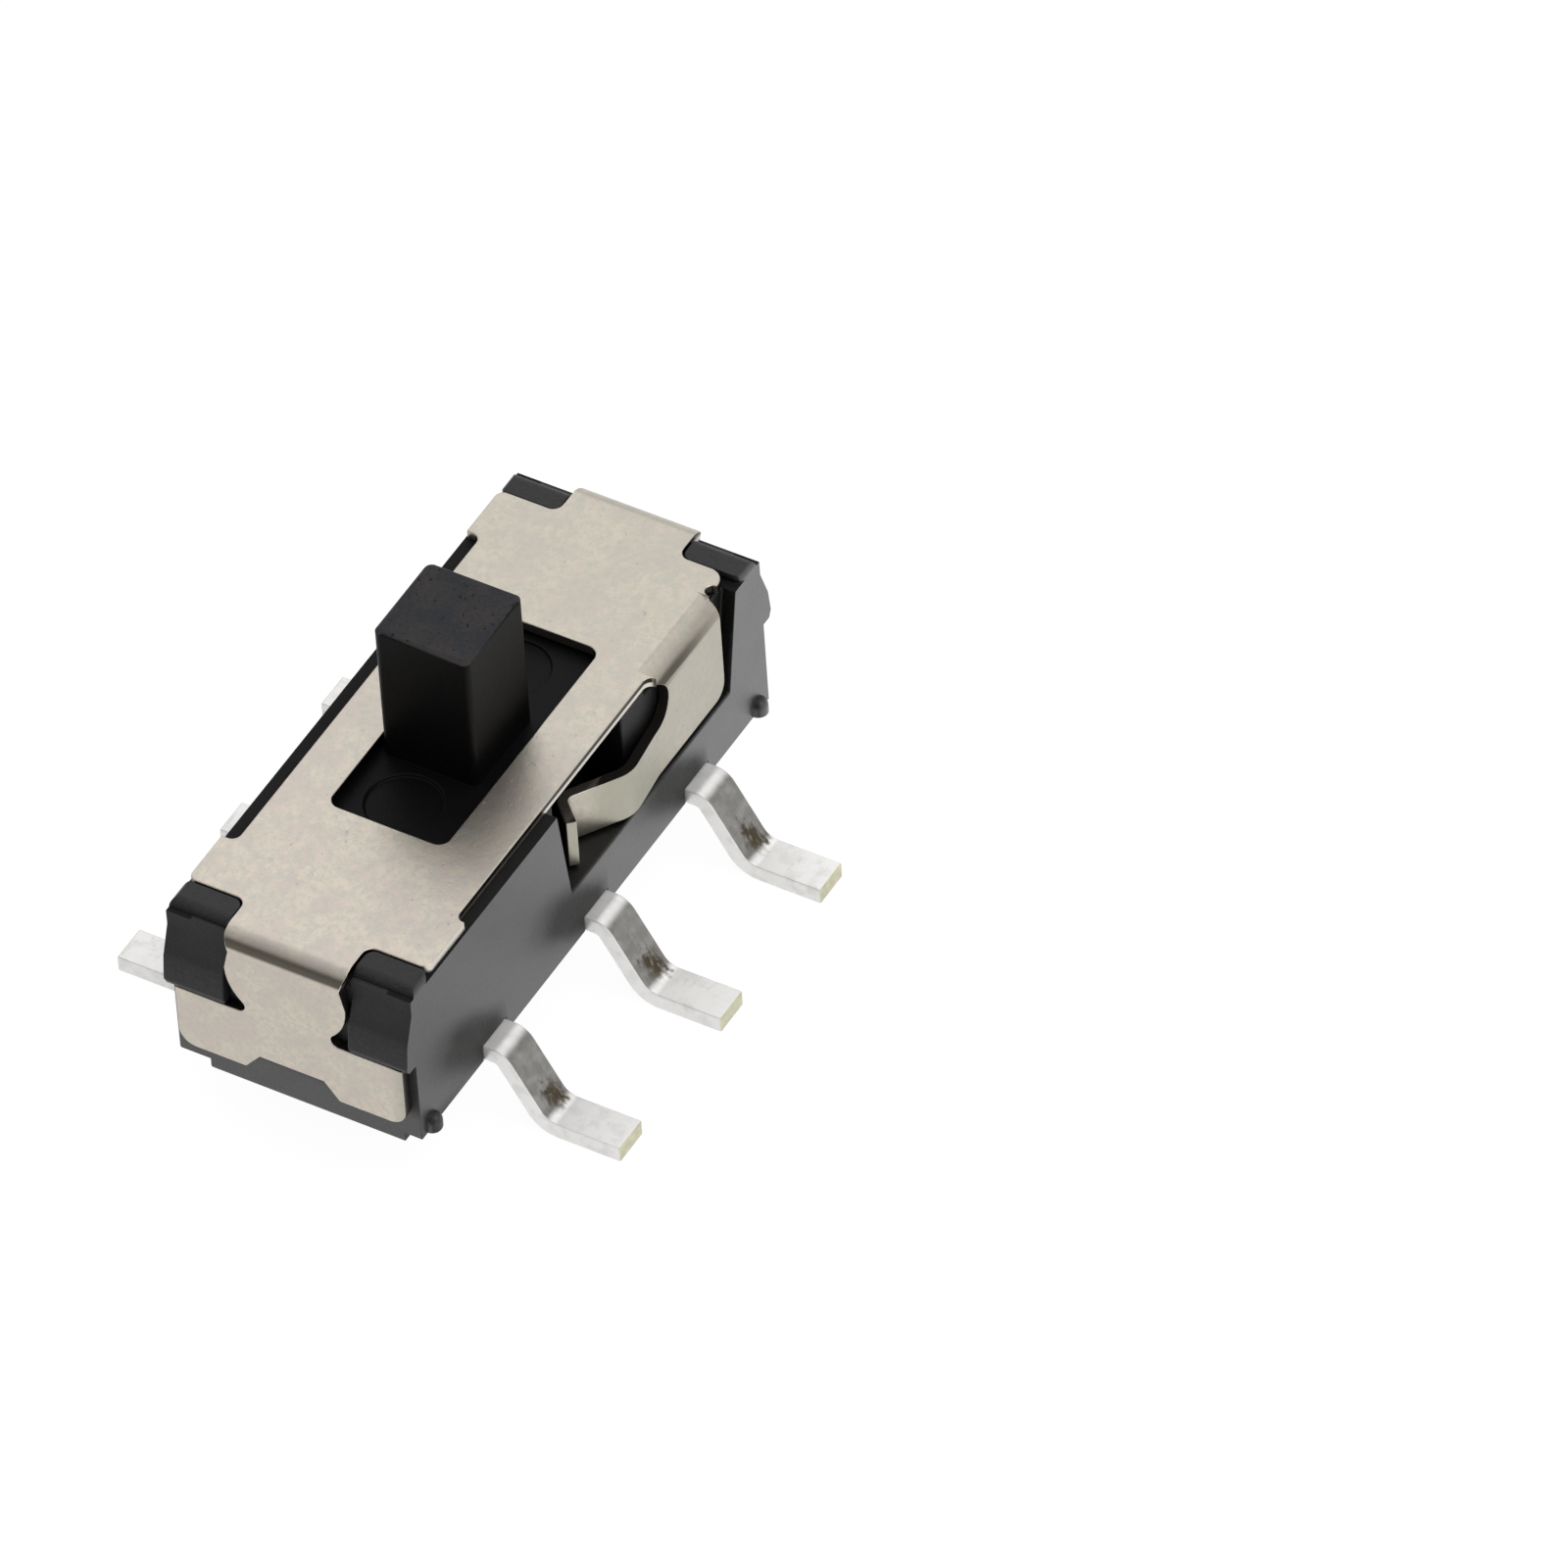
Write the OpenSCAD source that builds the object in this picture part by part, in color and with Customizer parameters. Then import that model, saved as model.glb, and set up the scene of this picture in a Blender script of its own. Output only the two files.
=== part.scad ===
// Miniature slide switch for surface mounting: a black moulded housing with six gull-wing
// terminals, a snapped-on sheet-metal cover with its own detent spring, and a slider with a knob.
// Millimetres. X runs along the travel of the knob, -Y is the side with the detent spring,
// and Z = 0 is the board face that the six feet stand on.

/* [Housing] */
// Length of the housing between the outer faces of its end walls
housing_length = 8.6; // [8.2:0.1:10]
// Width of the housing across its long walls
housing_width = 3.5; // [3.5:0.1:4.5]
// Height of the lower edge of the long walls above the board
wall_foot = 0.93; // [0.7:0.01:1.1]
// Height of the walls, from their lower edge to their top
wall_height = 2.42; // [2.35:0.01:3]
// How far the base pad hangs below the long walls
pad_drop = 0.16; // [0.05:0.01:0.3]
// How far the base pad stays back from the front wall face
pad_inset_front = 0.25; // [0.05:0.05:0.6]
// How far the base pad stays back from the back wall face
pad_inset_back = 0.45; // [0.05:0.05:0.6]
// Thickness of the front wall, which holds the spring pocket
front_wall = 0.6; // [0.5:0.02:0.66]
// Thickness of the back wall
back_wall = 0.4; // [0.3:0.02:0.5]
// Width of the ledges that the slider runs on
ledge_width = 0.28; // [0.1:0.02:0.4]
// Height of the slider ledges above the contact floor
ledge_height = 0.55; // [0.45:0.05:0.7]
// Thickness of the rib between the two poles
pole_rib = 0.2; // [0.1:0.05:0.3]
// Height of the rib between the two poles
pole_rib_height = 0.3; // [0.1:0.05:0.4]
// Radius of the two half-round locating nubs on the front wall
nub_radius = 0.13; // [0.05:0.01:0.2]
// Height of each locating nub, up to its round top
nub_height = 0.12; // [0.1:0.02:0.8]

/* [Snap posts] */
// Width of each corner post across the housing
post_width = 0.86; // [0.6:0.02:0.9]
// How far the back of a post lies inside the end face of the housing
post_depth = 0.47; // [0.35:0.01:0.6]
// Height of a post from its catch face to its top
post_height = 1.26; // [1:0.02:1.4]
// How far the catch edge stands out of the end face of the housing
catch_proud = 0.2; // [0.18:0.01:0.3]
// Height of the catch nose
catch_height = 0.46; // [0.3:0.02:0.6]
// Radius on the outer top corner of a post
post_corner = 0.14; // [0.1:0.02:0.4]
// How far the ramp face of a post starts behind the end face of the housing
post_set_back = 0.12; // [0.1:0.01:0.2]
// Radius between the top and the ramp face of a post
post_edge = 0.14; // [0.05:0.01:0.2]
// Radius on the two back corners of a post
post_round = 0.12; // [0.05:0.01:0.15]
// How far the ramp face stands out where the catch nose starts
nose_start = 0.16; // [0.08:0.01:0.17]
// Bevel on the catch edge
catch_bevel = 0.05; // [0.02:0.01:0.08]

/* [Cover] */
// Thickness of the cover sheet
sheet = 0.15; // [0.12:0.01:0.17]
// Width of the cover plate over the two ends
cover_width = 3.44; // [3.3:0.02:3.5]
// How far the rear edge of the plate is cut back
edge_cut = 0.21; // [0.15:0.01:0.3]
// How far the front edge of the plate is cut back beside the arm of the spring
front_cut = 0.13; // [0.1:0.01:0.2]
// Length of the cut back in the rear edge
edge_cut_length = 5.98; // [5:0.02:6.4]
// Distance of the front cut back from the middle, towards the free end
front_cut_reach = 2.92; // [2.5:0.02:3.2]
// Clearance between the cover and what it is fitted round
cover_gap = 0.02; // [0.01:0.01:0.04]
// Inner radius of the folds
fold_radius = 0.12; // [0.05:0.01:0.14]
// Radius on the outer corners of the plate
plate_corner = 0.12; // [0.05:0.01:0.3]
// Radius on the corner of the plate beyond the spring root
tail_corner = 0.22; // [0.05:0.01:0.23]
// How far the front edge of the plate is cut back beyond the spring root
tail_cut = 0.15; // [0.1:0.01:0.25]
// Radius of the relief notch between the spring root and that edge
tail_relief = 0.1; // [0.05:0.01:0.12]
// Corner radius of the cut backs
cut_corner = 0.12; // [0.05:0.01:0.2]
// Width of the neck between two posts, at the fold
neck_width = 1.6; // [1.2:0.02:1.7]
// Width across the wings of an end flap
wing_width = 3.26; // [3:0.02:3.5]
// Height of the wings of an end flap
wing_height = 0.97; // [0.7:0.01:1.1]
// Corner radius at the foot of an end flap
wing_corner = 0.24; // [0.1:0.02:0.4]
// Radius of the relief notches between neck and wings
relief_radius = 0.1; // [0.08:0.01:0.14]
// How far the relief notches cut into the neck
relief_reach = 0.25; // [0.2:0.01:0.32]
// Radius of the neck where it runs into a relief notch
neck_round = 0.7; // [0.4:0.02:0.8]
// Width of the notch in the foot of an end flap, at the opening
foot_notch_width = 1.36; // [1:0.02:1.6]
// Height of the notch in the foot of an end flap
foot_notch_height = 0.26; // [0.1:0.02:0.4]
// How far each flank of the foot notch leans in
foot_notch_lean = 0.22; // [0.1:0.02:0.4]

/* [Knob slot] */
// Width of the slot across the cover
slot_width = 1.68; // [1.5:0.02:1.8]
// Corner radius of the slot
slot_corner = 0.16; // [0.05:0.01:0.3]
// Play between the knob and each end of the slot when the slider is stopped
slot_end_play = 0.23; // [0.05:0.01:0.4]

/* [Detent spring] */
// Start of the spring root, from the middle of the switch
root_start = 1.8; // [1.7:0.02:2.2]
// End of the spring root, from the middle of the switch
root_end = 3.36; // [3:0.02:3.4]
// Inner radius of the fold at the spring root
root_fold_radius = 0.19; // [0.08:0.01:0.2]
// Radius on the lower corner of the spring root
root_corner = 0.24; // [0.1:0.01:0.3]
// Height of the spring arm
arm_height = 0.76; // [0.6:0.02:0.9]
// Drop from the top of the cover to the upper edge of the arm
arm_drop = 0.86; // [0.7:0.02:1]
// Where the arm turns in towards the slider, from the middle of the switch
arm_turn = 0.98; // [0.9:0.01:1.3]
// How far the arm bows outward before that turn
arm_bow = 0.08; // [0.02:0.01:0.12]
// Where the nose of the arm is, from the middle of the switch
nose_place = 0.2; // [0:0.01:0.25]
// How far the nose of the arm reaches in behind the spring root
nose_reach = 0.44; // [0.34:0.01:0.46]
// Length of the short leg behind the nose, along the switch
return_length = 0.34; // [0.2:0.01:0.45]
// How far the short leg comes back out
return_reach = 0.36; // [0.2:0.01:0.4]
// Bend radius where the arm leaves the spring root, at the middle of the sheet
bow_radius = 1.2; // [0.5:0.1:2]
// Bend radius where the arm turns in, at the middle of the sheet
arm_radius = 0.4; // [0.15:0.01:0.45]
// Bend radius of the nose, at the middle of the sheet
nose_radius = 0.17; // [0.12:0.01:0.2]
// Radius at the closed end of the slit above the arm
slit_radius = 0.36; // [0.3:0.01:0.38]
// How far the slit reaches into the spring root
slit_reach = 0.26; // [0.15:0.01:0.3]
// Room around the arm in its pocket in the wall
pocket_gap = 0.05; // [0.03:0.01:0.1]
// How far the end of the pocket leans away from the spring root, up to the top of the wall
pocket_lean = 0.34; // [0.1:0.01:0.36]
// How far the other end of the pocket leans back, up to the top of the wall
pocket_rake = 0.2; // [0.1:0.01:0.3]

/* [Slider] */
// Length of the knob along its travel
knob_length = 1.38; // [1.1:0.02:1.6]
// Width of the knob
knob_width = 1.36; // [1:0.02:1.44]
// Height of the knob above the cover
knob_height = 1.95; // [1:0.05:4]
// Radius on the upright edges of the knob
knob_corner = 0.1; // [0.05:0.01:0.25]
// Bevel around the top of the knob
knob_bevel = 0.05; // [0.02:0.01:0.1]
// Length of the slider block under the cover
block_length = 4.4; // [4:0.05:4.8]
// Distance of each outer detent from the middle one
travel = 1; // [0.8:0.05:1.1]
// Running clearance of the slider
run_gap = 0.05; // [0.03:0.01:0.08]
// Depth of each detent notch below the humps beside it
detent_depth = 0.14; // [0.08:0.01:0.2]
// Half width of each detent notch
detent_half = 0.34; // [0.2:0.01:0.38]
// Length of the land on each outer hump
hump_land = 0.1; // [0.05:0.01:0.2]
// Radius of the shallow round dishes in the top of the slider block
dish_radius = 0.5; // [0.3:0.01:0.55]
// Depth of those dishes
dish_depth = 0.05; // [0.02:0.01:0.1]
// Distance of each dish from the middle of the knob
dish_place = 1.32; // [1.25:0.01:1.5]

/* [Contacts] */
// Pitch of the terminals along the switch
pitch = 2.5; // [2.4:0.05:2.6]
// Thickness of the terminal strip
strip = 0.24; // [0.15:0.01:0.26]
// Width of a terminal leg
leg_width = 0.55; // [0.4:0.01:0.7]
// Width of the contact pad of a terminal
pad_width = 1; // [0.7:0.05:1.2]
// Distance between the tips of opposite feet
foot_span = 7.27; // [6.8:0.01:8]
// Distance from the middle to the upper bend of a leg
leg_bend_out = 1.98; // [1.9:0.01:2.1]
// Distance from the middle to the lower bend of a leg
leg_bend_in = 2.53; // [2.4:0.01:2.7]
// Upper bend radius of a leg, at the middle of the strip
leg_radius_up = 0.2; // [0.13:0.01:0.25]
// Lower bend radius of a leg, at the middle of the strip
leg_radius_down = 0.36; // [0.14:0.01:0.45]
// Thickness of a contact clip
clip_sheet = 0.1; // [0.08:0.01:0.12]
// Width of a contact clip
clip_width = 0.5; // [0.4:0.02:0.54]
// Distance between the two contact points of a clip
clip_span = 2.5; // [2.3:0.05:2.7]
// Length of the flat back of a clip
clip_back = 1.5; // [1.2:0.05:1.8]
// Bend radius of a clip, at the middle of its sheet
clip_radius = 0.12; // [0.08:0.01:0.15]
// How far the tip of a clip turns up past its contact point
clip_tip = 0.2; // [0.12:0.01:0.24]
// Air between a contact point and the pad under it
clip_air = 0.03; // [0.02:0.01:0.05]

/* [Hidden] */
$fn = 32;

half_length = housing_length / 2;
half_width = housing_width / 2;
wall_top = wall_foot + wall_height;
cover_top = wall_top + sheet;
pad_foot = wall_foot - pad_drop;
contact_floor = wall_foot + strip;
ledge_top = contact_floor + ledge_height;
cavity_front = front_wall - half_width;
cavity_back = half_width - back_wall;
slide_line = (cavity_front + cavity_back) / 2;
cavity_half_length = block_length / 2 + travel + run_gap;
catch_level = cover_top - post_height - cover_gap;
flap_in = half_length;
flap_out = flap_in + sheet;
flap_foot = catch_level - cover_gap - wing_height;
plate_end = half_length - post_depth - cover_gap;
post_back = plate_end + cover_gap;
post_in = half_width - post_width;
slot_length = knob_length + 2 * (travel + slot_end_play);
arm_top = cover_top - arm_drop;
arm_foot = arm_top - arm_height;
slit_place = root_start + slit_reach - slit_radius;
arm_middle = cover_width / 2 - sheet / 2;
root_fold_start = root_fold_radius + 2 * sheet - arm_middle;
pocket_foot = arm_foot - pocket_gap;
pocket_depth = half_width - cover_width / 2 + sheet + cover_gap;
window_start = nose_place - return_length - nose_radius - 4 * pocket_gap;
window_end = arm_turn + 4 * pocket_gap;
nose_line = nose_reach - arm_middle;
hump_line = nose_line + sheet / 2 + run_gap / 2;
notch_line = hump_line + detent_depth;
block_front = cavity_front + run_gap;
block_back = cavity_back - run_gap;
block_foot = ledge_top + run_gap;
block_top = wall_top - run_gap;
knob_top = cover_top + knob_height;
seat_depth = clip_sheet;
seat_half = clip_back / 2 + 2 * clip_sheet;
leg_middle = wall_foot + strip / 2;
foot_tip = foot_span / 2;
pad_in = pole_rib / 2 + run_gap;
pad_out = cavity_back - slide_line - ledge_width;
clip_middle = (pad_in + pad_out) / 2;
clip_foot = contact_floor + clip_air;
over = 0.5;
eps = 0.01;

// Unit vector from p to q
function way(p, q) = (q - p) / norm(q - p);

// Turns a vector a quarter turn to the left
function left_of(v) = [-v[1], v[0]];

// Signed angle of the turn from direction a to direction b
function turn(a, b) = atan2(a[0] * b[1] - a[1] * b[0], a * b);

// Points along an arc of radius r that rounds the corner q between p and s
function bend(p, q, s, r, steps = 6) =
    let (a = way(p, q), b = way(q, s), angle = turn(a, b), side = sign(angle))
    let (start = q - a * r * tan(abs(angle) / 2), centre = start + left_of(a) * r * side)
    [for (i = [0:steps])
        let (v = angle * i / steps, from = start - centre)
        centre + [from[0] * cos(v) - from[1] * sin(v), from[0] * sin(v) + from[1] * cos(v)]];

// Middle line of a bent strip: its corners, with a bend radius for each inner corner
function bent_line(corners, radii) = concat(
    [corners[0]],
    [for (i = [1:len(corners) - 2])
        each bend(corners[i - 1], corners[i], corners[i + 1], radii[i - 1])],
    [corners[len(corners) - 1]]);

// Offset of point i of a line by d to its left, square to the mean direction there
function beside(line, i, d) =
    let (last = len(line) - 1)
    let (a = way(line[max(i - 1, 0)], line[max(i, 1)]))
    let (b = way(line[min(i, last - 1)], line[min(i + 1, last)]))
    let (n = left_of(way([0, 0], a + b)))
    line[i] + n * d / (n * left_of(a));

// Outline of a strip of thickness t whose middle runs along a line
module strip_outline(line, t) {
    last = len(line) - 1;
    polygon(concat([for (i = [0:last]) beside(line, i, t / 2)],
                   [for (i = [last:-1:0]) beside(line, i, -t / 2)]));
}

// A plate outline of x and z, stood upright and given its thickness from y0 to y1
module upright(y0, y1) {
    translate([0, y1, 0]) rotate([90, 0, 0]) linear_extrude(y1 - y0) children();
}

// An outline of y and z, given its length from x0 to x1
module across(x0, x1) {
    translate([x0, 0, 0]) rotate([90, 0, 90]) linear_extrude(x1 - x0) children();
}

// An outline of x and y, given its height from z0 to z1
module level(z0, z1) {
    translate([0, 0, z0]) linear_extrude(z1 - z0) children();
}

// A rectangle between two corners
module rect(x0, y0, x1, y1) {
    translate([x0, y0]) square([x1 - x0, y1 - y0]);
}

// A rectangle between two corners, with round corners
module round_rect(x0, y0, x1, y1, r) {
    rect(x0 + r, y0, x1 - r, y1);
    rect(x0, y0 + r, x1, y1 - r);
    for (x = [x0 + r, x1 - r], y = [y0 + r, y1 - r])
        translate([x, y]) circle(r);
}

// What is cut away to round off an outer corner whose tip is at the origin and whose edges run
// along -X and +Y
module corner_waste(r) {
    difference() {
        rect(-r, -eps, eps, r);
        translate([-r, r]) circle(r);
    }
}

// Both ends of the switch, for what is alike at both
module both_ends() {
    for (side = [0, 1])
        mirror([side, 0, 0]) children();
}

// Both long sides of the switch, for what is alike on both
module both_sides() {
    for (side = [0, 1])
        mirror([0, side, 0]) children();
}

// Both poles of the switch, on either side of the line that the slider runs on
module both_poles() {
    translate([0, slide_line, 0]) both_sides() children();
}

// Side view of a snap post at the +X end: ramp face, proud catch nose and flat catch face
module post_profile() {
    nose_top = catch_level + catch_height;
    top = cover_top - cover_gap;
    polygon(concat(
        [[post_back, wall_top - over], [post_back, top]],
        bend([post_back, top], [half_length - post_set_back, top],
             [half_length + nose_start, nose_top], post_edge),
        [[half_length + nose_start, nose_top],
         [half_length + catch_proud, catch_level + 2 * catch_bevel],
         [half_length + catch_proud - catch_bevel, catch_level],
         [half_length - eps, catch_level],
         [half_length - eps, wall_top - over]]));
}

// One snap post at the +X end on the +Y side, with its outer top corner and its back corners
// rounded off
module snap_post() {
    intersection() {
        upright(post_in, half_width) post_profile();
        across(post_back - over, half_length + over) {
            rect(0, 0, half_width - post_corner, cover_top);
            rect(0, 0, half_width, cover_top - post_corner);
            translate([half_width - post_corner, cover_top - post_corner]) circle(post_corner);
        }
        level(0, cover_top) difference() {
            rect(post_back, post_in, half_length + over, half_width);
            translate([post_back, post_in]) mirror([1, 0]) corner_waste(post_round);
            translate([post_back, half_width]) rotate(180) corner_waste(post_round);
        }
    }
}

// Half-round locating nub at the foot of the front wall, near the +X end
module nub() {
    translate([half_length - 2 * nub_radius, -half_width, wall_foot]) {
        cylinder(h = nub_height, r = nub_radius);
        translate([0, 0, nub_height]) sphere(nub_radius);
    }
}

// Insert-moulded terminal strip: wide contact pad inside, narrow leg through the wall, and
// a gull-wing foot outside; it is drawn on the +Y side at the middle position, for a slider
// that runs at a distance y from the middle plane
module terminal(y) {
    path = bent_line([[y + pad_in, leg_middle], [leg_bend_out, leg_middle],
                      [leg_bend_in, strip / 2], [foot_tip, strip / 2]],
                     [leg_radius_up, leg_radius_down]);
    color("silver") {
        across(-leg_width / 2, leg_width / 2) strip_outline(path, strip);
        level(wall_foot, contact_floor)
            rect(-pad_width / 2, y + pad_in, pad_width / 2, y + pad_out);
    }
}

module terminal_front(place) {
    translate([place * pitch, 0, 0]) mirror([0, 1, 0]) terminal(-slide_line);
}

module terminal_back(place) {
    translate([place * pitch, 0, 0]) terminal(slide_line);
}

// Room for one terminal in the floor and the wall of the housing
module terminal_room(y) {
    level(wall_foot, contact_floor + eps)
        rect(-pad_width / 2, y + pad_in, pad_width / 2, y + pad_out);
    level(wall_foot - eps, contact_floor)
        rect(-leg_width / 2, y + pad_out - eps, leg_width / 2, half_width + over);
}

// Moulded housing: floor with the base pad, long walls with slider ledges, end blocks with
// snap posts, and the pocket and window for the detent spring in the front wall, bevelled under
// the fold of the spring root
module housing() {
    color("#232323") difference() {
        union() {
            level(wall_foot, wall_top)
                rect(-half_length, -half_width, half_length, half_width);
            level(pad_foot, wall_foot + eps)
                rect(-half_length, pad_inset_front - half_width,
                     half_length, half_width - pad_inset_back);
            both_ends() both_sides() snap_post();
            both_ends() nub();
        }
        level(ledge_top, wall_top + over)
            rect(-cavity_half_length, cavity_front, cavity_half_length, cavity_back);
        both_poles() level(contact_floor, ledge_top + eps)
            rect(-cavity_half_length, pole_rib / 2, cavity_half_length, pad_out);
        level(contact_floor + pole_rib_height, ledge_top + eps)
            rect(-cavity_half_length, slide_line - pole_rib,
                 cavity_half_length, slide_line + pole_rib);
        upright(-half_width - over, pocket_depth - half_width) polygon([
            [window_start, pocket_foot], [root_end + pocket_gap, pocket_foot],
            [root_end + pocket_lean, wall_top], [root_end + pocket_lean, wall_top + over],
            [window_start - pocket_rake, wall_top + over], [window_start - pocket_rake, wall_top]
        ]);
        level(pocket_foot, wall_top + over)
            rect(window_start, -half_width - over, window_end, cavity_front + eps);
        across(root_start - pocket_gap, root_end + pocket_gap) polygon([
            [pocket_depth - half_width - eps, wall_top - root_fold_radius - eps],
            [pocket_depth - half_width + root_fold_radius + eps, wall_top + eps],
            [pocket_depth - half_width - eps, wall_top + eps]
        ]);
        both_ends() upright(-post_in, post_in) polygon([
            [half_length - fold_radius - eps, wall_top + eps],
            [half_length + eps, wall_top - fold_radius - eps],
            [half_length + eps, wall_top + eps]
        ]);
        for (place = [-1:1])
            translate([place * pitch, 0, 0]) {
                terminal_room(slide_line);
                mirror([0, 1, 0]) terminal_room(-slide_line);
            }
    }
}

// Plan of the flat cover plate, without its folded parts
module plate_plan() {
    half = cover_width / 2;
    fillet = post_round + cover_gap;
    difference() {
        union() {
            round_rect(-plate_end, -half, plate_end, half, plate_corner);
            rect(-plate_end, -neck_width / 2, plate_end, neck_width / 2);
            for (side = [0, 1], end = [0, 1])
                mirror([end, 0]) mirror([0, side])
                    translate([plate_end, post_in - cover_gap]) difference() {
                        rect(-eps, -eps, fillet, fillet);
                        translate([fillet, fillet]) circle(fillet);
                    }
        }
        round_rect(-edge_cut_length / 2, half - edge_cut,
                   edge_cut_length / 2, half + over, cut_corner);
        round_rect(-front_cut_reach, -half - over, root_start, front_cut - half, cut_corner);
        rect(root_start, -half - over, root_end, root_fold_start - sheet);
        rect(root_end - eps, -half - over, plate_end + over, tail_cut - half);
        translate([root_end + tail_relief, tail_cut - half]) circle(tail_relief);
        translate([plate_end, tail_cut - half]) corner_waste(tail_corner);
        round_rect(-slot_length / 2, -slot_width / 2, slot_length / 2, slot_width / 2, slot_corner);
    }
}

// Front view of the neck and the flap at one end
module flap_view() {
    neck = neck_width / 2;
    side_line = post_in - cover_gap;
    wing_top = flap_foot + wing_height;
    relief = [side_line - relief_reach + relief_radius, wing_top + relief_radius];
    round_line = side_line - neck_round;
    round_level = relief[1] + sqrt(pow(neck_round + relief_radius, 2)
                                   - pow(relief[0] - round_line, 2));
    difference() {
        union() {
            polygon([
                [-side_line, cover_top + over],
                [-side_line, cover_top - sheet / 2],
                [-neck, cover_top - 2 * sheet],
                [-side_line, cover_top - 4 * sheet],
                [-side_line, flap_foot + wing_corner],
                [side_line, flap_foot + wing_corner],
                [side_line, cover_top - 4 * sheet],
                [neck, cover_top - 2 * sheet],
                [side_line, cover_top - sheet / 2],
                [side_line, cover_top + over]
            ]);
            rect(-wing_width / 2, flap_foot + wing_corner, wing_width / 2, wing_top);
            rect(wing_corner - wing_width / 2, flap_foot,
                 wing_width / 2 - wing_corner, wing_top - eps);
            for (side = [-1, 1])
                translate([side * (wing_width / 2 - wing_corner), flap_foot + wing_corner])
                    circle(wing_corner);
        }
        for (side = [0, 1])
            mirror([side, 0]) {
                translate(relief) circle(relief_radius);
                difference() {
                    polygon([[round_line, round_level], relief, [relief[0], wing_top],
                             [side_line + eps, wing_top], [side_line + eps, round_level]]);
                    translate([round_line, round_level]) circle(neck_round);
                }
            }
        polygon([
            [-foot_notch_width / 2, flap_foot - eps],
            [foot_notch_lean - foot_notch_width / 2, flap_foot + foot_notch_height],
            [foot_notch_width / 2 - foot_notch_lean, flap_foot + foot_notch_height],
            [foot_notch_width / 2, flap_foot - eps]
        ]);
    }
}

// Neck and flap folded down over the +X end
module end_flap() {
    plate_middle = cover_top - sheet / 2;
    fold = bent_line([[plate_end - eps, plate_middle], [flap_in + sheet / 2, plate_middle],
                      [flap_in + sheet / 2, flap_foot - eps]],
                     [fold_radius + sheet / 2]);
    intersection() {
        upright(-wing_width / 2, wing_width / 2) strip_outline(fold, sheet);
        across(plate_end - over, flap_out + over) flap_view();
    }
}

// Front view of the spring root, with the round end of the slit above the arm
module root_view() {
    difference() {
        union() {
            rect(root_start, arm_foot, root_end, cover_top + over);
            rect(slit_place, arm_foot, root_start + eps, arm_top + slit_radius / 2);
        }
        translate([root_end, arm_foot]) corner_waste(root_corner);
        translate([slit_place, arm_top + slit_radius]) circle(slit_radius);
    }
}

// Detent spring: the root folded down out of the plate, the arm along the front wall, the
// nose that presses on the slider, and the short leg behind it
module detent_spring() {
    plate_middle = cover_top - sheet / 2;
    fold = bent_line([[root_fold_start, plate_middle], [-arm_middle, plate_middle],
                      [-arm_middle, arm_foot - eps]],
                     [root_fold_radius + sheet / 2]);
    arm = bent_line([[root_start + slit_reach, -arm_middle], [slit_place, -arm_middle],
                     [arm_turn, -arm_middle - arm_bow], [nose_place, nose_line],
                     [nose_place - return_length, nose_line - return_reach]],
                    [bow_radius, arm_radius, nose_radius]);
    intersection() {
        across(slit_place, root_end) strip_outline(fold, sheet);
        upright(-half_width - over, 0) root_view();
    }
    level(arm_foot, arm_top) strip_outline(arm, sheet);
}

// Stamped cover: one sheet-metal piece with the plate, both end flaps and the detent spring
module cover() {
    color("#c8c3b8") union() {
        level(wall_top, cover_top) plate_plan();
        both_ends() end_flap();
        detent_spring();
    }
}

// Plan of the slider block, with three detent notches in its front edge
module block_plan() {
    run = travel + detent_half + hump_land;
    difference() {
        rect(-block_length / 2, block_front, block_length / 2, block_back);
        rect(nose_place - run, block_front - over, nose_place + run, hump_line);
        for (place = [-1:1])
            translate([nose_place + place * travel, notch_line]) polygon([
                [-detent_half, -detent_depth - eps], [-detent_half / 4, 0],
                [detent_half / 4, 0], [detent_half, -detent_depth - eps]
            ]);
    }
}

// Plan of the knob, drawn in by a margin all round
module knob_plan(margin) {
    x = knob_length / 2 - margin;
    y = knob_width / 2 - margin;
    round_rect(-x, -y, x, y, knob_corner);
}

// Slider: block under the cover with the detent notches and two shallow dishes, and the knob
// that stands through the slot
module slider() {
    color("#1b1b1b") difference() {
        union() {
            level(block_foot, block_top) block_plan();
            translate([0, slide_line, 0]) {
                level(block_top - eps, knob_top - knob_bevel) knob_plan(0);
                hull() {
                    level(knob_top - knob_bevel - eps, knob_top - knob_bevel) knob_plan(0);
                    level(knob_top - eps, knob_top) knob_plan(knob_bevel);
                }
            }
        }
        both_poles() level(block_foot - eps, block_foot + seat_depth)
            rect(-seat_half, clip_middle - clip_width / 2 - cover_gap,
                 seat_half, clip_middle + clip_width / 2 + cover_gap);
        both_ends() translate([dish_place, slide_line, block_top - dish_depth])
            cylinder(h = dish_depth + over, r = dish_radius);
    }
}

// Moving contact clip: flat back seated under the slider, two sprung legs and two rounded
// contact points
module contact_clip() {
    back = block_foot + seat_depth - clip_sheet / 2;
    point = clip_span / 2;
    low = clip_foot + clip_sheet / 2;
    line = bent_line([[-point - clip_tip, low + clip_tip], [-point, low], [-clip_back / 2, back],
                      [clip_back / 2, back], [point, low], [point + clip_tip, low + clip_tip]],
                     [clip_radius, clip_radius, clip_radius, clip_radius]);
    color("#b98d4a") upright(clip_middle - clip_width / 2, clip_middle + clip_width / 2)
        strip_outline(line, clip_sheet);
}

module contact_clip_front() {
    translate([0, slide_line, 0]) mirror([0, 1, 0]) contact_clip();
}

module contact_clip_back() {
    translate([0, slide_line, 0]) contact_clip();
}

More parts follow.
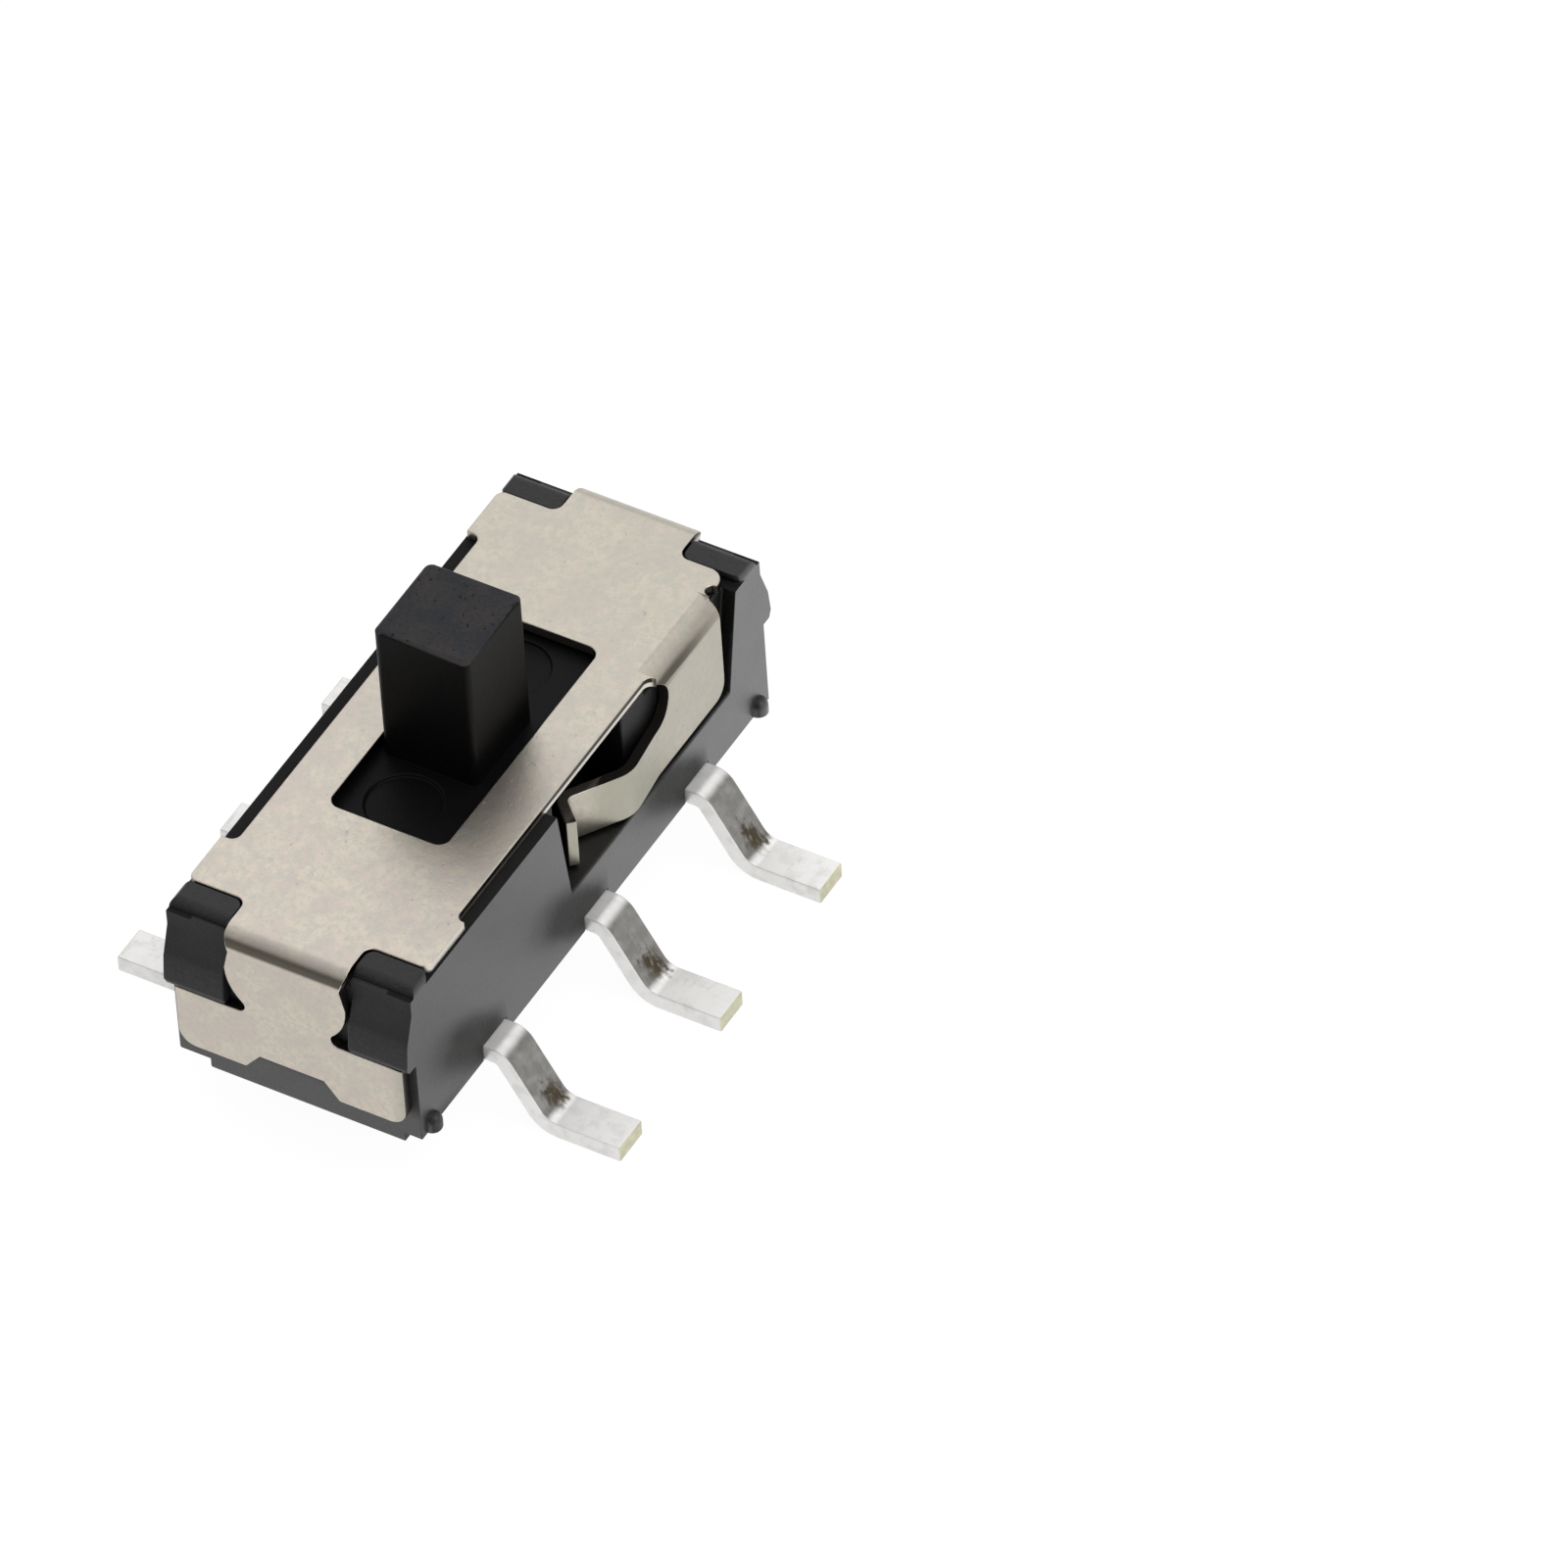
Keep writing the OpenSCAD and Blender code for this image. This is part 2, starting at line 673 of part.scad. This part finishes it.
housing();
cover();
slider();
contact_clip_front();
contact_clip_back();
terminal_front(-1);  // terminal_front_1
terminal_front(0);  // terminal_front_2
terminal_front(1);  // terminal_front_3
terminal_back(-1);  // terminal_back_1
terminal_back(0);  // terminal_back_2
terminal_back(1);  // terminal_back_3
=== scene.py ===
import math

import bmesh
import bpy
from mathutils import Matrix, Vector
from mathutils.bvhtree import BVHTree


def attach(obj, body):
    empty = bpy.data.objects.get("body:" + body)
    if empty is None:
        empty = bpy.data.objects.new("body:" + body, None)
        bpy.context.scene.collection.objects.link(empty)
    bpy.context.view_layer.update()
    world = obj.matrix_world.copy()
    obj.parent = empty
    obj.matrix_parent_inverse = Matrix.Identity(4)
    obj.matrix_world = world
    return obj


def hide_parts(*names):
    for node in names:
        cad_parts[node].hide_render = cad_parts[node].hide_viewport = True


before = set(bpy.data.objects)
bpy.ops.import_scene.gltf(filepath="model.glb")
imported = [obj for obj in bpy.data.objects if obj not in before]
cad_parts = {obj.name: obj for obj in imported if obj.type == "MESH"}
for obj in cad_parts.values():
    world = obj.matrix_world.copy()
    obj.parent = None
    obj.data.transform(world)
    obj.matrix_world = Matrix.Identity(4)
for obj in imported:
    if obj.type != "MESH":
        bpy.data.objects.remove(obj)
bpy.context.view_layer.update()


# Six terminals: half-hard brass strip, tin plated before it was blanked, so that the cut tips
# show the yellow metal. They are moulded into the housing, then bent to gull wings on a die,
# which leaves drawn lines down each leg and a brown stain in the inner bend.
class Flow:
    """One socket of a shader. Sums on it add Math nodes, and node() adds any other node."""

    def __init__(self, socket):
        self.socket = socket

    def node(self, kind, settings, feeds, out=0):
        tree = self.socket.id_data
        made = tree.nodes.new("ShaderNode" + kind)
        for name, value in settings.items():
            setattr(made, name, value)
        for name, value in feeds.items():
            if isinstance(value, Flow):
                tree.links.new(value.socket, made.inputs[name])
            else:
                made.inputs[name].default_value = value
        return Flow(made.outputs[out])

    def sum(self, operation, *values):
        return self.node("Math", {"operation": operation}, dict(enumerate(values)))

    def __add__(self, other):
        return self.sum("ADD", self, other)

    def __sub__(self, other):
        return self.sum("SUBTRACT", self, other)

    def __rsub__(self, other):
        return self.sum("SUBTRACT", other, self)

    def __mul__(self, other):
        return self.sum("MULTIPLY", self, other)

    __radd__ = __add__
    __rmul__ = __mul__

    def size(self):
        return self.sum("ABSOLUTE", self)

    def rise(self, low, high):
        """0 below low, 1 above high, and a smooth rise between them; it falls if low is above high."""
        return self.node("MapRange", {"interpolation_type": "SMOOTHSTEP"},
                         {"Value": self, "From Min": low, "From Max": high})

    def axis(self, which):
        return self.node("SeparateXYZ", {}, {"Vector": self}, which)

    def stretched(self, x, y, z):
        return self.node("VectorMath", {"operation": "MULTIPLY"}, {0: self, 1: (x, y, z)})

    def cloud(self, scale, detail=2.0, rough=0.5):
        return self.node("TexNoise", {}, {"Vector": self, "Scale": scale, "Detail": detail,
                                          "Roughness": rough})

    def blend(self, low, high):
        """The colour low where this is 0, and high where it is 1."""
        return self.node("Mix", {"data_type": "RGBA"}, {0: self, 6: low, 7: high}, 2)

    def relief(self, depth):
        """A normal from this as a height, with its full height in millimetres."""
        return self.node("Bump", {}, {"Height": self, "Distance": depth / 1000})

    def into(self, shader, name):
        self.socket.id_data.links.new(self.socket, shader.inputs[name])


def finish(name, **plain):
    """A new material: its Principled shader, and the place on the object in millimetres."""
    made = bpy.data.materials.new(name)
    made.use_nodes = True
    shader = made.node_tree.nodes["Principled BSDF"]
    for socket, value in plain.items():
        shader.inputs[socket.replace("_", " ")].default_value = value
    place = Flow(made.node_tree.nodes.new("ShaderNodeTexCoord").outputs["Object"])
    return made, shader, place.stretched(1000, 1000, 1000)


def facing(shader, which):
    """How far the surface faces along one axis of the object, from -1 to 1."""
    coordinates = shader.id_data.nodes.new("ShaderNodeTexCoord")
    return Flow(coordinates.outputs["Normal"]).axis(which)


def eased(node, name, ease, body, material, from_angle=25):
    """The solid of a node with its sharp edges rounded off by ease, in millimetres, and by less
    where the faces beside them are too small for it."""
    same_place, same_plane = 2e-6, math.radians(0.5)
    too_far, near_spike, least_face = 0.45 * ease / 1000, 3 * ease / 1000, 1e-11
    shape = bmesh.new()
    shape.from_mesh(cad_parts[node].data)
    bmesh.ops.remove_doubles(shape, verts=shape.verts, dist=same_place)
    bmesh.ops.dissolve_limit(shape, angle_limit=same_plane, verts=shape.verts, edges=shape.edges)
    shape.edges.index_update()
    surface = BVHTree.FromBMesh(shape)
    sharp = {edge for edge in shape.edges if edge.is_manifold
             and edge.calc_face_angle() > math.radians(from_angle)}

    # How much of each edge the roundings at its ends use up, which edges lie beside which, and
    # which pairs run on nearly straight, where one rounding has to pass into the other.
    used, beside, in_line = {}, {}, []
    for face in shape.faces:
        face.smooth = True
        for corner in face.loops:
            before, after = corner.link_loop_prev.edge, corner.edge
            angle = max(corner.calc_angle(), 0.1)
            if before in sharp and after in sharp:
                share = 1 / math.tan(angle / 2) if corner.is_convex else 0
                if angle > 2:
                    in_line.append((before.index, after.index, 0.7 * math.sin(angle)))
            else:
                share = 1 / max(math.sin(angle), 0.1)
            for edge, other in ((before, after), (after, before)):
                if other in sharp:
                    used[edge, corner.vert] = max(used.get((edge, corner.vert), 0), share)
                    beside.setdefault(other, set()).add(edge)
    rounding = [0.0] * len(shape.edges)
    for edge in sharp:
        rounding[edge.index] = 1.0
        for near in beside[edge] | {edge}:
            need = ease / 1000 * sum(used.get((near, vert), 0) for vert in near.verts)
            rounding[edge.index] = min(rounding[edge.index],
                                       0.9 * near.calc_length() / max(need, 1e-9))

    mesh = bpy.data.meshes.new(name)
    shape.to_mesh(mesh)
    shape.free()
    for spare in [a.name for a in mesh.attributes if "normal" in a.name]:
        mesh.attributes.remove(mesh.attributes[spare])
    mesh.materials.clear()
    mesh.materials.append(material)
    piece = bpy.data.objects.new(name, mesh)
    bpy.context.scene.collection.objects.link(piece)
    edges = piece.modifiers.new("eased edges", "BEVEL")
    edges.width = ease / 1000
    edges.segments = 2
    edges.limit_method = "WEIGHT"
    edges.use_clamp_overlap = False
    mesh.attributes.new("bevel_weight_edge", "FLOAT", "EDGE")
    ends = [[mesh.vertices[v].co.copy() for v in edge.vertices] for edge in mesh.edges]

    # Where the rounding throws up a spike or a face that is turned over, the edges near it get
    # a smaller one, and it is tried again.
    for _ in range(14):
        uneven = True
        while uneven:
            uneven = False
            for pair in in_line:
                low, high = sorted(pair[:2], key=rounding.__getitem__)
                if rounding[high] > rounding[low] + pair[2] + 1e-4:
                    rounding[high] = rounding[low] + pair[2]
                    uneven = True
        mesh.attributes["bevel_weight_edge"].data.foreach_set("value", rounding)
        mesh.update()
        seen = piece.evaluated_get(bpy.context.evaluated_depsgraph_get())
        spikes = [v.co.copy() for v in seen.data.vertices
                  if surface.find_nearest(v.co)[3] > too_far]
        spikes += [f.center.copy() for f in seen.data.polygons
                   if f.area > least_face
                   and surface.find_nearest(f.center)[1].dot(f.normal) < -0.1]
        if not spikes:
            break
        for index, held in enumerate(rounding):
            if held and any((end - spike).length < near_spike
                            for end in ends[index] for spike in spikes):
                rounding[index] = held * 0.6

    # The mesh as it stands, shaded so that its large faces stay flat up to their roundings.
    seen = piece.evaluated_get(bpy.context.evaluated_depsgraph_get())
    mesh = bpy.data.meshes.new_from_object(seen)
    leans = [Vector() for _ in mesh.vertices]
    square_mm = 1e6
    for face in mesh.polygons:
        for vert in face.vertices:
            leans[vert] += face.normal * face.area * square_mm
    mesh.normals_split_custom_set_from_vertices([lean.normalized() for lean in leans])
    piece.modifiers.clear()
    piece.data = mesh
    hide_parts(node)
    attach(piece, body)
    return piece


tin_white = (0.93, 0.92, 0.90, 1)
tin_grey = (0.66, 0.66, 0.64, 1)
slope_painted_shade = (0.165, 0.16, 0.148, 1)
stain_brown = (0.055, 0.040, 0.016, 1)
pale_brass = (0.72, 0.70, 0.50, 1)
leg_pitch = 2.5
bend_above, bend_below = 2.36, 2.72
foot_from, cut_from, cut_to = 2.9, 3.605, 3.632

tin, shader, place = finish("tin_plating", Metallic=0.5)
across, out, up = place.axis(0), place.axis(1).size(), place.axis(2)
on_leg = across.sum("WRAP", across, leg_pitch / 2, -leg_pitch / 2)

# Lines drawn down the leg, dull patches, and dabs on the foot
drawn = place.stretched(42, 1.6, 1.6).cloud(1, 3, 0.6)
fine = place.stretched(110, 6, 6).cloud(1, 2)
clouds = place.cloud(6, 3)
dabs = place.stretched(5, 26, 26).cloud(1, 2).rise(0.60, 0.72) * out.rise(2.75, foot_from)
streaks = drawn.rise(0.36, 0.64) * 0.6 + fine.rise(0.35, 0.65) * 0.4
# Painted shade: the sloping faces of the legs, which mirror the darker near side, are painted dark
# grey, with a little of the streaks and clouds in it.
shaded_slope = facing(shader, 2).size().rise(0.98, 0.74) * facing(shader, 0).size().rise(0.7, 0.4)
shaded_slope = shaded_slope * (0.82 + streaks * 0.05 + clouds.rise(0.3, 0.65) * 0.10)
dull = (streaks * 0.18 + clouds.rise(0.42, 0.66) * 0.35 + dabs * 0.3).rise(0, 1.1)

# The stain in the lower bend, with a frayed outline, and the cut tip of the foot
wander = place.stretched(14, 9, 9).cloud(1, 2) * 0.36 - 0.18
stain = ((out + wander).rise(bend_above, 2.48) * (out + wander).rise(bend_below, 2.54)
         * up.rise(0.17, 0.23)
         * (on_leg + wander).rise(-0.20, 0.02) * (on_leg + wander).rise(0.26, 0.10)
         * place.stretched(20, 6, 6).cloud(1, 3).rise(0.16, 0.40))
tip = out.rise(cut_from, cut_to) * (0.45 + place.stretched(9, 9, 12).cloud(1, 3) * 0.9)
plated = shaded_slope.blend(dull.blend(tin_white, tin_grey), slope_painted_shade)
plated = (stain * 0.96).blend(plated, stain_brown)
(tip * 0.85).blend(plated, pale_brass).into(shader, "Base Color")
(0.26 + streaks * 0.08 + clouds * 0.12 + out.rise(2.6, foot_from) * 0.2 + stain * 0.3).into(
    shader, "Roughness")
(drawn * 0.3 + fine * 0.2 + clouds * 0.6).relief(0.003).into(shader, "Normal")

for side in ("front", "back"):
    for number in (1, 2, 3):
        eased(f"terminal_{side}_{number}", f"gull_wing_{side}_{number}", 0.022,
              "body", tin)


# Housing: black glass-filled nylon, moulded in one shot with its floor, walls, corner posts and
# nubs. The steel was spark-eroded, so the skin is finely pitted, with pale glass fibre ends and
# greasy-looking flow clouds; the posts are pressed over the cover flaps as it snaps home.
nylon_black = (0.008, 0.008, 0.009, 1)
nylon_grey = (0.019, 0.019, 0.019, 1)
nylon_shade = (0.0015, 0.0012, 0.001, 1)
fibre_pale = (0.10, 0.10, 0.09, 1)
leg_height, cloud_fall, cloud_run = 1.15, 0.57, 0.82
wall_face, cavity_length, ledge_edge = 1.72, 3.95, 1.38

nylon, shader, place = finish("black_nylon", IOR=1.5, Specular_IOR_Level=0.3, Coat_IOR=1.65,
                              Coat_Roughness=0.3)
along, aside, up = place.axis(0), place.axis(1).size(), place.axis(2)
end_on, side_on, top_on = (facing(shader, which) for which in (0, 1, 2))
pits = place.cloud(20, 3, 0.6)
flow = place.stretched(1.6, 1.6, 1.6).cloud(1.6, 3)
fibres = place.stretched(16, 40, 40).cloud(1, 2).rise(0.70, 0.78)
# Faces that look up are painted a little lighter, as painted light from above.
skin = (pits * 0.7 + flow * 0.3 + top_on.rise(0.5, 0.95) * 0.12).rise(0.36, 0.68)

# Painted reflection on the front wall: a dark cloud runs from each leg up the wall and away from the
# spring's root, where the legs mirror in the gloss; the low near end of the walls is darkened too.
to_leg = along.sum("WRAP", along, 0.3, 0.3 - leg_pitch)
past = to_leg * -cloud_run + (up - leg_height) * cloud_fall
off = to_leg * cloud_fall + (up - leg_height) * cloud_run
wall_painted_shade = off.rise(0.62, 0.02) * off.rise(-0.66, -0.10) * past.rise(-0.5, 0.2)
wall_painted_shade = wall_painted_shade * past.rise(2.3, 0.6) * along.rise(2.9, 2.7) * side_on.rise(-0.4, -0.8)
wall_painted_shade = (wall_painted_shade * (0.85 + flow * 0.5) + up.rise(1.3, 0.9) * along.rise(-3.0, -3.9) * 0.7).rise(0, 1)

# Painted shade: the ramps of the catches, the cavity, and the ledge beside the plate are painted
# near-black, where shadow falls
ramp = end_on.size().rise(0.4, 0.6) * up.rise(2.66, 2.80) * up.rise(3.43, 3.40)
inside = aside.rise(1.73, 1.70) * up.rise(3.34, 3.30) * along.size().rise(cavity_length, 3.85)
ledge = top_on.rise(0.8, 0.95) * up.rise(3.2, 3.3) * up.rise(3.42, 3.38) * aside.rise(ledge_edge, 1.42)

# Walls that were drawn out of the mould and came out glossier than the rest
low_end = end_on.size().rise(0.8, 0.97) * up.rise(1.5, 1.2)
walls = side_on.size().rise(0.4, 0.9) * aside.rise(1.68, wall_face) * (1 - wall_painted_shade * 0.95)
walls = walls * (0.56 + along.rise(-4.2, 4.2) * 0.48) + low_end * 0.6
worn = (fibres * 0.35).blend(skin.blend(nylon_black, nylon_grey), fibre_pale)
shade = (ledge * 0.95 + inside * 0.8 + wall_painted_shade * side_on.size() * 0.8 + ramp * 0.9).rise(0, 1)
shade.blend(worn, nylon_shade).into(shader, "Base Color")
(0.36 + flow * 0.16 + pits * 0.12 + ledge * 0.3).into(shader, "Roughness")
(walls * (0.72 + flow * 0.3 + pits * 0.24)).into(shader, "Coat Weight")
(pits + fibres * 0.3).relief(0.007).into(shader, "Normal")

eased("housing", "moulded_housing", 0.03, "body", nylon)


# Two contact clips: phosphor bronze strip 0.1 mm thick, formed on a die and seated under the
# slider, each with two rounded points that bridge the contact pads.
bronze_bright = (0.72, 0.48, 0.27, 1)
bronze_dull = (0.52, 0.33, 0.18, 1)

bronze, shader, place = finish("phosphor_bronze", Metallic=1.0)
rolled = place.stretched(3, 60, 3).cloud(1, 2)
rolled.rise(0.35, 0.65).blend(bronze_bright, bronze_dull).into(shader, "Base Color")
(0.24 + rolled * 0.14).into(shader, "Roughness")
rolled.relief(0.002).into(shader, "Normal")

for side in ("front", "back"):
    eased(f"contact_clip_{side}", f"bronze_clip_{side}", 0.012, "slide", bronze)


# Slider: black acetal, moulded with its square knob. The sides of the knob are drawn smooth out
# of the mould, and its top keeps the coarse spark-eroded grain, with a few small dark pits.
acetal_black = (0.003, 0.003, 0.003, 1)
acetal_top_painted_light = (0.027, 0.029, 0.033, 1)
acetal_brown = (0.043, 0.038, 0.037, 1)
top_from, top_full = 5.15, 5.3

acetal, shader, place = finish("black_acetal", IOR=1.48, Specular_IOR_Level=0.1)
# Painted light: the top of the knob is painted much lighter than its sides, as lit from above, besides
# carrying its coarse grain.
top = facing(shader, 2).rise(0.4, 0.9) * place.axis(2).rise(top_from, top_full)
coarse = place.cloud(13, 3, 0.65)
speckle = place.cloud(30, 2)
grained = (coarse * 0.3 + speckle * 0.3 + place.cloud(2.2, 2) * 0.4).rise(0.40, 0.62)
top_grain_and_painted_light = grained.blend(acetal_top_painted_light, acetal_brown)
top_grain_and_painted_light = (place.cloud(15, 1).rise(0.66, 0.74) * 0.7).blend(top_grain_and_painted_light, acetal_black)
top.blend(acetal_black, top_grain_and_painted_light).into(shader, "Base Color")
(0.40 + top * 0.25 + speckle * 0.08).into(shader, "Roughness")
((coarse * 0.6 + speckle * 0.4) * (0.25 + top * 0.75)).relief(0.022).into(shader, "Normal")

eased("slider", "knob_slider", 0.03, "slide", acetal, from_angle=60)


# Cover: 0.15 mm nickel-plated steel strip, blanked, then folded down over both ends and along
# the front, where it runs out into the detent spring. The plating is satin and mottled, with
# rolled grain, pin-head pits and a few short scratches. Its folds carry a painted dark brown
# reflection, and its spring side a painted darker green shade.
nickel_warm = (0.580, 0.519, 0.435, 1)
nickel_cool = (0.468, 0.453, 0.407, 1)
nickel_pink = (0.538, 0.468, 0.411, 1)
nickel_green_painted_shade = (0.40, 0.39, 0.32, 1)
fold_painted_reflection = (0.075, 0.066, 0.052, 1)
pit_dark = (0.30, 0.275, 0.23, 1)
cut_painted_shade = (0.030, 0.027, 0.023, 1)
sheared_bright = (0.70, 0.66, 0.60, 1)
plate_foot, end_bend, flap_inside = 3.35, 4.26, 4.28
spring_wall, root_from, root_slit = -1.62, 1.6, 1.8

nickel, shader, place = finish("satin_nickel", Metallic=1.0)
along, aside, up = place.axis(0), place.axis(1), place.axis(2)
end_on, side_on, top_on = (facing(shader, which).size() for which in (0, 1, 2))
mottle = place.cloud(11, 3, 0.65)
grit = place.cloud(24, 2, 0.6)
blush = place.cloud(2.4, 2)
rolled = place.stretched(5, 46, 46).cloud(1, 3)
pits = place.cloud(13, 1).rise(0.72, 0.80)
scratch = (place.stretched(4, 24, 24).cloud(1, 1).rise(0.74, 0.80)
           * place.cloud(2.3, 1).rise(0.54, 0.60))

# The spring side, its arm, and the nicks that forming left on it
front = aside.rise(-1.40, spring_wall) * up.rise(3.40, 3.15)
arm = front * along.rise(2.3, 0.9)
nicks = place.stretched(20, 20, 4).cloud(1, 1).rise(0.66, 0.72) * front * along.rise(2.2, 2.0) \
    * along.rise(1.1, 1.3)

# Folds: a painted dark reflection in the bends, tinted brown
end_fold_painted_reflection = along.size().rise(4.16, end_bend) * top_on.rise(0.0, 0.3) * top_on.rise(0.80, 0.50) \
    * side_on.rise(0.5, 0.2) * up.rise(3.0, 3.1)
root_fold_painted_reflection = aside.rise(-1.3, -1.45) * along.rise(root_from, 1.9) * end_on.rise(0.5, 0.2) \
    * (top_on.rise(0.0, 0.25) * top_on.rise(0.80, 0.40) * up.rise(3.0, 3.1)
       * (0.45 + along.rise(3.5, 2.2) * 0.55)
       + top_on.rise(0.93, 0.975) * top_on.rise(0.999, 0.98) * 0.3)

# Cut edges: pale where they were sheared, and painted near-black as painted shade along the upper part
# of the front edge, past the root of the slit and away from the front
plate_cut = up.rise(3.335, plate_foot) * top_on.rise(0.45, 0.25) * side_on.rise(0.2, 0.5)
cut_shade_part = up.rise(3.41, 3.44) * along.rise(-2.96, -2.90)
cut_shade_part = cut_shade_part + along.rise(root_slit, 1.82) + aside.rise(-1.4, -1.3)
flap_cut = along.size().rise(4.24, flap_inside) * up.rise(3.3, 3.2) * end_on.rise(0.5, 0.25)
spring_cut = front * (top_on.rise(0.6, 0.85) + along.rise(0.5, 0.7) * side_on.rise(0.4, 0.2))

skin = blush.rise(0.40, 0.62).blend(nickel_warm, nickel_pink)
skin = ((mottle * 0.65 + grit * 0.35).rise(0.40, 0.62) * 0.85).blend(skin, nickel_cool)
# Painted shade: the spring side, and its arm most of all, are painted darker and greener, and so is
# the plate, more and more towards the far end.
skin = (front * 0.25 + arm * 0.5 + along.rise(-4.0, 4.5) * 0.3
        + (mottle.rise(0.5, 0.7) * arm * 0.2)).blend(skin, nickel_green_painted_shade)
skin = (pits * 0.35 + scratch * 0.4 + nicks * 0.6).rise(0, 1).blend(skin, pit_dark)
skin = (end_fold_painted_reflection * 0.85 + root_fold_painted_reflection * 0.85).rise(0, 1).blend(skin, fold_painted_reflection)
skin = plate_cut.blend(skin, cut_shade_part.rise(0, 1).blend(sheared_bright, cut_painted_shade))
# The cut edges of the end flaps and of the spring are painted near-black as painted shade.
skin = (flap_cut * 0.7 + spring_cut * 0.97).rise(0, 1).blend(skin, cut_painted_shade)
skin.into(shader, "Base Color")
(0.25 + mottle * 0.13 + rolled * 0.06 + pits * 0.1 + spring_cut * 0.3).into(shader, "Roughness")
(mottle * 0.5 + rolled * 0.3 + grit * 0.3 - pits * 0.4).relief(0.003).into(shader, "Normal")

eased("cover", "stamped_cover", 0.02, "body", nickel)


# Floor and low round backdrop: one sweep of white paper under and round the switch. It shows
# white to the camera and in the metal, and keeps a part of the shadow of the switch.
paper_white, glow_strength, glow_share = (0.86, 0.86, 0.86, 1), 1.04, 0.92
sweep_radius, sweep_round, sweep_height, under_feet = 0.9, 0.08, 0.2, -0.00001
turns, round_steps = 96, 8

paper = bpy.data.materials.new("white_paper")
paper.use_nodes = True
tree = paper.node_tree
tree.nodes.clear()
rays = tree.nodes.new("ShaderNodeLightPath")
seen = Flow(rays.outputs["Is Camera Ray"]) + Flow(rays.outputs["Is Glossy Ray"])
seen = seen + Flow(rays.outputs["Is Transmission Ray"])
matt = seen.node("BsdfDiffuse", {}, {"Color": paper_white})
glow = seen.node("Emission", {}, {"Color": (1, 1, 1, 1), "Strength": glow_strength})
glowing = seen.sum("MINIMUM", seen, 1) * glow_share
both = seen.node("MixShader", {}, {0: glowing, 1: matt, 2: glow})
sheet_out = tree.nodes.new("ShaderNodeOutputMaterial")
tree.links.new(both.socket, sheet_out.inputs["Surface"])

profile = [(0, 0), (0.02, 0), (0.1, 0), (0.4, 0), (sweep_radius - sweep_round, 0)]
profile += [(sweep_radius - sweep_round * (1 - math.sin(a)), sweep_round * (1 - math.cos(a)))
            for a in (math.pi / 2 * step / round_steps for step in range(1, round_steps + 1))]
profile += [(sweep_radius, sweep_height)]
shape = bmesh.new()
rings = [[shape.verts.new((r * math.cos(t), r * math.sin(t), z + under_feet))
          for t in (2 * math.pi * n / turns for n in range(turns))] for r, z in profile[1:]]
middle = shape.verts.new((0, 0, under_feet))
for n in range(turns):
    after = (n + 1) % turns
    shape.faces.new((middle, rings[0][n], rings[0][after])).smooth = True
    for inner, outer in zip(rings, rings[1:]):
        shape.faces.new((inner[n], outer[n], outer[after], inner[after])).smooth = True
mesh = bpy.data.meshes.new("paper_sweep")
shape.to_mesh(mesh)
shape.free()
mesh.materials.append(paper)
sweep = bpy.data.objects.new("paper_sweep", mesh)
bpy.context.scene.collection.objects.link(sweep)


# Light: a soft white sky, brighter over the far side of the switch than on the near side, with
# one large soft box over the far side, which the top of the cover mirrors, and one over the
# near side, which fills the feet and the dull plating.
towards_light = Vector((0.50, 0.32, 0.80)).normalized()
towards_fill = Vector((-0.05, -0.62, 0.78))
sky_near, sky_far = (0.32, 0.32, 0.32, 1), (0.86, 0.86, 0.87, 1)
box_size, box_away = 0.5, 0.6

sky = bpy.data.worlds.new("soft_sky")
sky.use_nodes = True
sky_shader = sky.node_tree.nodes["Background"]
direction = Flow(sky.node_tree.nodes.new("ShaderNodeTexCoord").outputs["Generated"])
lean = direction.node("VectorMath", {"operation": "DOT_PRODUCT"},
                      {0: direction, 1: tuple(towards_light)}, "Value")
lean.rise(-0.2, 0.95).blend(sky_near, sky_far).into(sky_shader, "Color")
bpy.context.scene.world = sky

for name, towards, watts in (("soft_box", towards_light, 0.35), ("fill_box", towards_fill, 1.7)):
    light = bpy.data.lights.new(name, "AREA")
    light.shape = "SQUARE"
    light.size = box_size
    light.energy = watts
    box = bpy.data.objects.new(name, light)
    box.location = towards * box_away
    box.rotation_euler = towards.to_track_quat("Z", "Y").to_euler()
    bpy.context.scene.collection.objects.link(box)


# Camera: a long lens a quarter of a metre away, as the parallel edges in the photograph ask for.
lens = bpy.data.cameras.new("camera")
lens.lens = 483.87
lens.sensor_width = 36
lens.clip_start = 0.01
lens.clip_end = 10
camera = bpy.data.objects.new("camera", lens)
camera.location = (-0.15305966, -0.10276831, 0.18845371)
camera.rotation_euler = (0.77863841, 0.04950383, -1.05080459)
bpy.context.scene.collection.objects.link(camera)
bpy.context.scene.camera = camera

bpy.context.scene.view_settings.view_transform = "Standard"
